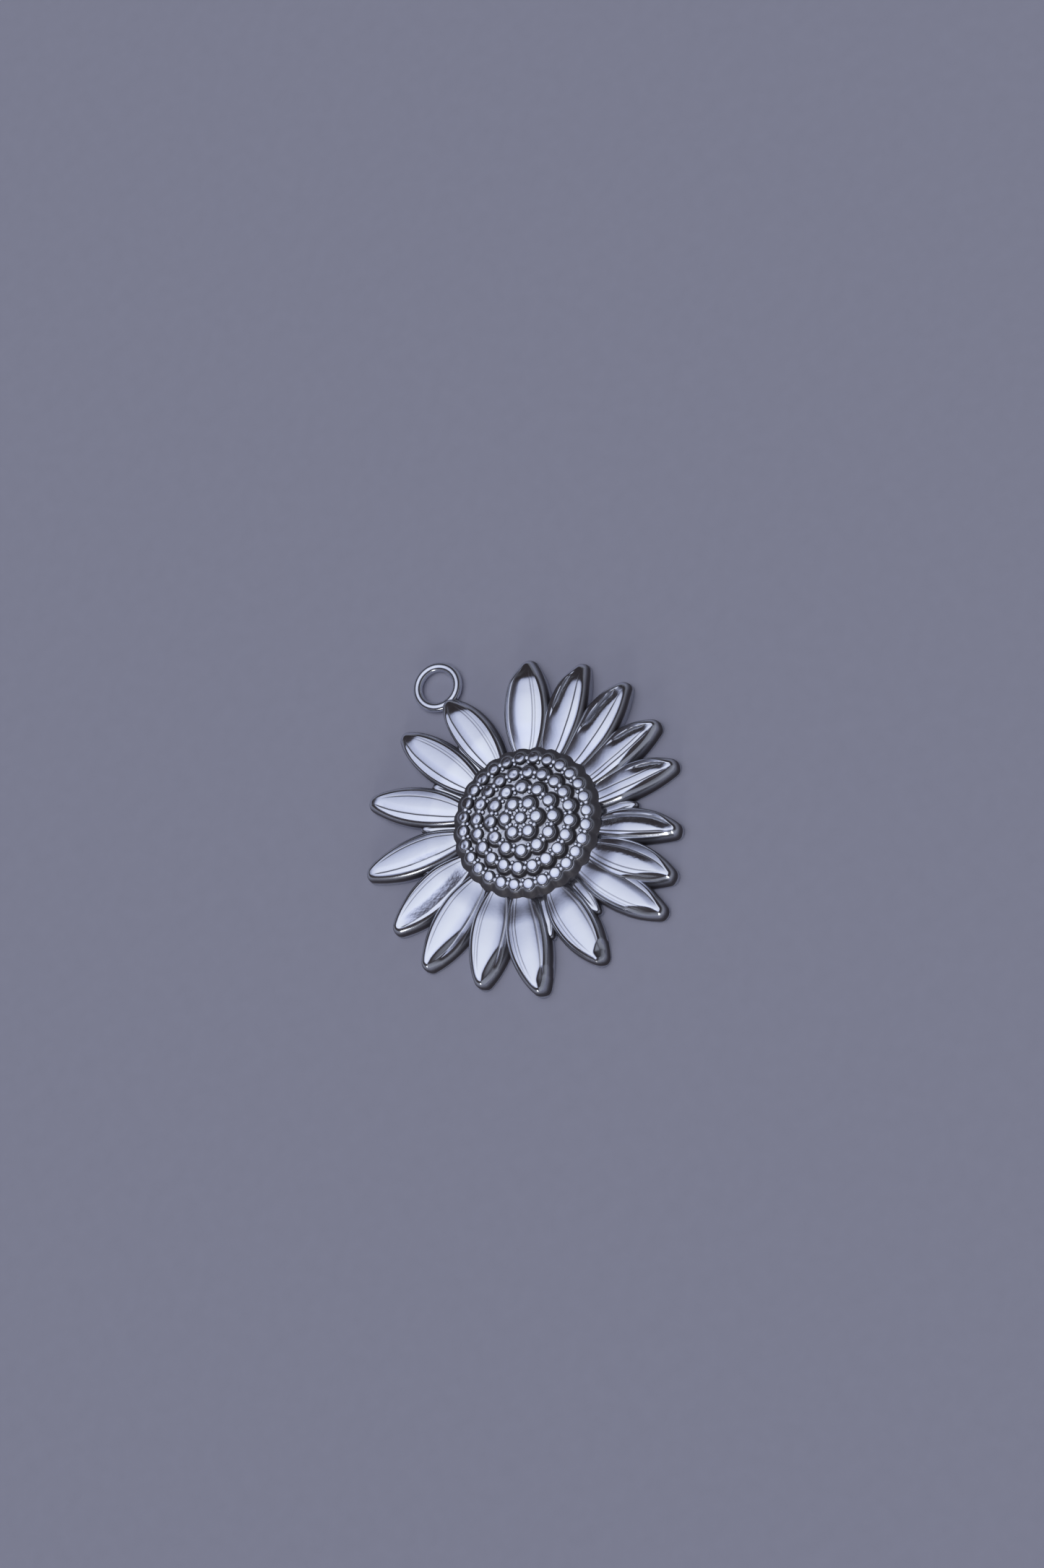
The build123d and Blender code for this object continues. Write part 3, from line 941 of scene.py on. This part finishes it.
def floor_material(settings):
    """A plain pale floor with a faint tooth."""
    material = bpy.data.materials.new("pale_floor")
    material.use_nodes = True
    tree = material.node_tree
    shader = tree.nodes["Principled BSDF"]
    shader.inputs["Roughness"].default_value = FLOOR_ROUGHNESS
    shader.inputs["Specular IOR Level"].default_value = FLOOR_SHINE
    place = add_node(tree, "ShaderNodeTexCoord")
    tooth = add_node(tree, "ShaderNodeTexNoise", {"Scale": TOOTH_SCALE, "Detail": 5})
    link(tree, place, "Object", tooth, "Vector")
    darker, paler = [(*[c * shade for c in settings.floor_color], 1) for shade in FLOOR_SHADES]
    tint = add_node(tree, "ShaderNodeMix", {"A": darker, "B": paler}, data_type="RGBA")
    link(tree, tooth, "Fac", tint, "Factor")
    link(tree, tint, "Result", shader, "Base Color")
    return material


def facing(tree, place, aim):
    """How much each direction of the sky faces this aim, from 1 towards it to -1 away from it."""
    dot = add_node(tree, "ShaderNodeVectorMath", {1: aim}, operation="DOT_PRODUCT")
    return link(tree, place, "Generated", dot, 0)


def sky_rings(tree, place):
    """The colours of SKY_STOPS, by how far out from SKY_AIM each direction is."""
    angle = add_node(tree, "ShaderNodeMath", operation="ARCCOSINE")
    link(tree, facing(tree, place, SKY_AIM.normalized()), "Value", angle, 0)
    share = add_node(tree, "ShaderNodeMath", {1: pi}, operation="DIVIDE")
    link(tree, angle, "Value", share, 0)
    rings = add_node(tree, "ShaderNodeValToRGB")
    link(tree, share, "Value", rings, "Fac")
    while len(rings.color_ramp.elements) < len(SKY_STOPS):
        rings.color_ramp.elements.new(0.5)
    for element, stop in zip(rings.color_ramp.elements, SKY_STOPS):
        element.position = stop.degrees_out / 180
        element.color = (*stop.color, 1)
    return rings


def soft_sky(settings):
    """The studio's soft light: a large round patch overhead, a small low lamp and a dim room round them."""
    world = bpy.data.worlds.new("studio")
    bpy.context.scene.world = world
    world.use_nodes = True
    tree = world.node_tree
    tree.nodes.clear()
    out = add_node(tree, "ShaderNodeOutputWorld")
    light = add_node(tree, "ShaderNodeBackground", {"Strength": settings.sky_strength})
    link(tree, light, "Background", out, "Surface")
    place = add_node(tree, "ShaderNodeTexCoord")

    ends = {"From Min": SIDE_FROM, "From Max": SIDE_TO, "To Min": SIDE_BRIGHT, "To Max": SIDE_DIM}
    shade = add_node(tree, "ShaderNodeMapRange", ends)
    link(tree, facing(tree, place, SIDE_AIM), "Value", shade, "Value")
    shaded = add_node(tree, "ShaderNodeVectorMath", operation="SCALE")
    link(tree, sky_rings(tree, place), "Color", shaded, 0)
    link(tree, shade, "Result", shaded, "Scale")

    outer, inner = [cos(radians(LAMP_SIZE * share)) for share in (LAMP_EDGE, 1)]
    ends = {"From Min": outer, "From Max": inner, "To Max": LAMP_STRENGTH}
    lamp = add_node(tree, "ShaderNodeMapRange", ends)
    link(tree, facing(tree, place, LAMP_AIM.normalized()), "Value", lamp, "Value")
    both = add_node(tree, "ShaderNodeVectorMath", operation="ADD")
    link(tree, shaded, "Vector", both, 0)
    link(tree, lamp, "Result", both, 1)
    link(tree, both, "Vector", light, "Color")


def new_object(name, data):
    """An object for this data, linked to the scene."""
    thing = bpy.data.objects.new(name, data)
    bpy.context.scene.collection.objects.link(thing)
    return thing


def new_piece(name, form, sharp_degrees):
    """A piece of the pendant from its form, in the metal, tied to the part and standing for the solid."""
    verts, faces, marks = form
    if not np.isfinite(verts).all():
        raise RuntimeError(f"{name} has points without a place; its sizes don't fit together")
    mesh = bpy.data.meshes.new(name)
    mesh.from_pydata((verts * MM).tolist(), [], faces)
    # the painted shade and the cast skin, kept on the points
    for column, label in enumerate(("recess", "texture")):
        layer = mesh.attributes.new(label, "FLOAT", "POINT")
        layer.data.foreach_set("value", np.ascontiguousarray(marks[:, column], dtype=np.float32))
    mesh.update()
    mesh.shade_smooth()
    mesh.set_sharp_from_angle(angle=radians(sharp_degrees))
    material = bpy.data.materials.get("polished_metal") or metal_material(bpy.context.scene.pendant)
    mesh.materials.append(material)
    thing = new_object(name, mesh)
    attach(thing, "root")
    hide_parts(SOLID)
    return thing


def front_blades(settings):
    """The petals of the front layer."""
    sizes = (PETAL_WIDTH, PETAL_HEIGHT, NOSE_RADIUS, settings.shoulder / MM, settings.hollow_scale)
    return [Blade(petal, finish, *sizes) for petal, finish in zip(PETALS, FINISHES)]


def under_blades(settings):
    """The small petals of the layer below."""
    shoulder = min(settings.shoulder / MM, UNDER_NOSE * UNDER_SHOULDER)
    return [Blade(petal, PLAIN, UNDER_WIDTH, UNDER_HEIGHT, UNDER_NOSE, shoulder) for petal in UNDER_PETALS]


def new_petals(label, blades, settings):
    """One piece for each of these petals, numbered anticlockwise."""
    for number, blade in enumerate(blades, start=1):
        new_piece(f"{label}_{number:02d}", blade_form(blade, settings.groove_depth / MM), PETAL_SHARP)


def new_floor(settings):
    """The plain floor, a little below the back."""
    mesh = bpy.data.meshes.new("floor")
    corners = [(-FLOOR_SIDE, -FLOOR_SIDE, 0), (FLOOR_SIDE, -FLOOR_SIDE, 0)]
    corners += [(FLOOR_SIDE, FLOOR_SIDE, 0), (-FLOOR_SIDE, FLOOR_SIDE, 0)]
    mesh.from_pydata(corners, [], [(0, 1, 2, 3)])
    mesh.materials.append(floor_material(settings))
    floor = new_object("floor", mesh)
    floor.location.z = -FLOOR_DROP * MM


def new_camera():
    """The camera, at the angle from which the pendant was seen."""
    camera = bpy.data.cameras.new("camera")
    camera.lens = CAMERA_LENS
    camera.sensor_width = SENSOR_WIDTH
    camera.clip_start = 0.01
    holder = new_object("camera", camera)
    place = Matrix.Translation(CAMERA_AIM)
    for degrees, axis in ((CAMERA_HEADING, "Z"), (CAMERA_TILT, "X"), (CAMERA_ROLL, "Z")):
        place = place @ Matrix.Rotation(radians(degrees), 4, axis)
    holder.matrix_world = place @ Matrix.Translation((0, 0, CAMERA_DISTANCE))
    return holder


class PENDANT_OT_petals(bpy.types.Operator):
    """Build the petals of the front layer"""

    bl_idname = "pendant.petals"
    bl_label = "Petals"

    def execute(self, context):
        settings = context.scene.pendant
        new_petals("petal", front_blades(settings), settings)
        return {"FINISHED"}


class PENDANT_OT_under_petals(bpy.types.Operator):
    """Build the small petals of the layer below"""

    bl_idname = "pendant.under_petals"
    bl_label = "Under petals"

    def execute(self, context):
        settings = context.scene.pendant
        new_petals("under_petal", under_blades(settings), settings)
        return {"FINISHED"}


class PENDANT_OT_seed_disc(bpy.types.Operator):
    """Build the stepped disc with its seeds and grains"""

    bl_idname = "pendant.seed_disc"
    bl_label = "Seed disc"

    def execute(self, context):
        new_piece("seed_disc", merged([disc_form()] + seed_forms()), ROUND_SHARP)
        return {"FINISHED"}


class PENDANT_OT_ring_loop(bpy.types.Operator):
    """Build the ring loop at the tip of the top petal"""

    bl_idname = "pendant.ring_loop"
    bl_label = "Ring loop"

    def execute(self, context):
        new_piece("ring_loop", loop_form(), ROUND_SHARP)
        return {"FINISHED"}


class PENDANT_OT_back(bpy.types.Operator):
    """Build the flat back of the flower"""

    bl_idname = "pendant.back"
    bl_label = "Back"

    def execute(self, context):
        settings = context.scene.pendant
        new_piece("back", back_form(front_blades(settings) + under_blades(settings)), BACK_SHARP)
        return {"FINISHED"}


class PENDANT_OT_stage(bpy.types.Operator):
    """Build the floor, the soft light and the camera"""

    bl_idname = "pendant.stage"
    bl_label = "Stage"

    def execute(self, context):
        settings = context.scene.pendant
        new_floor(settings)
        soft_sky(settings)
        context.scene.camera = new_camera()
        context.scene.view_settings.view_transform = "Standard"
        return {"FINISHED"}


class PENDANT_PT_panel(bpy.types.Panel):
    """Lists the settings and the steps"""

    bl_idname = "PENDANT_PT_panel"
    bl_label = "Pendant"
    bl_space_type = "VIEW_3D"
    bl_region_type = "UI"
    bl_category = "Pendant"

    def draw(self, context):
        settings = context.scene.pendant
        for name in PendantSettings.__annotations__:
            self.layout.prop(settings, name)
        for step in STEPS:
            self.layout.operator(step.bl_idname)


STEPS = (
    PENDANT_OT_petals,
    PENDANT_OT_under_petals,
    PENDANT_OT_seed_disc,
    PENDANT_OT_ring_loop,
    PENDANT_OT_back,
    PENDANT_OT_stage,
)


def register():
    """Register the settings, the operators and the panel."""
    for kind in (PendantSettings, *STEPS, PENDANT_PT_panel):
        bpy.utils.register_class(kind)
    bpy.types.Scene.pendant = bpy.props.PointerProperty(type=PendantSettings)


def unregister():
    """Take them out again."""
    del bpy.types.Scene.pendant
    for kind in (PENDANT_PT_panel, *reversed(STEPS), PendantSettings):
        bpy.utils.unregister_class(kind)


def plain(box):
    """A box's corners as plain lists of numbers."""
    return [[float(value) for value in corner] for corner in box]


def main():
    """Build the pendant and its stage."""
    register()
    bpy.ops.pendant.petals()
    bpy.ops.pendant.under_petals()
    bpy.ops.pendant.seed_disc()
    bpy.ops.pendant.ring_loop()
    bpy.ops.pendant.back()
    bpy.ops.pendant.stage()


if __name__ == "__main__":
    main()
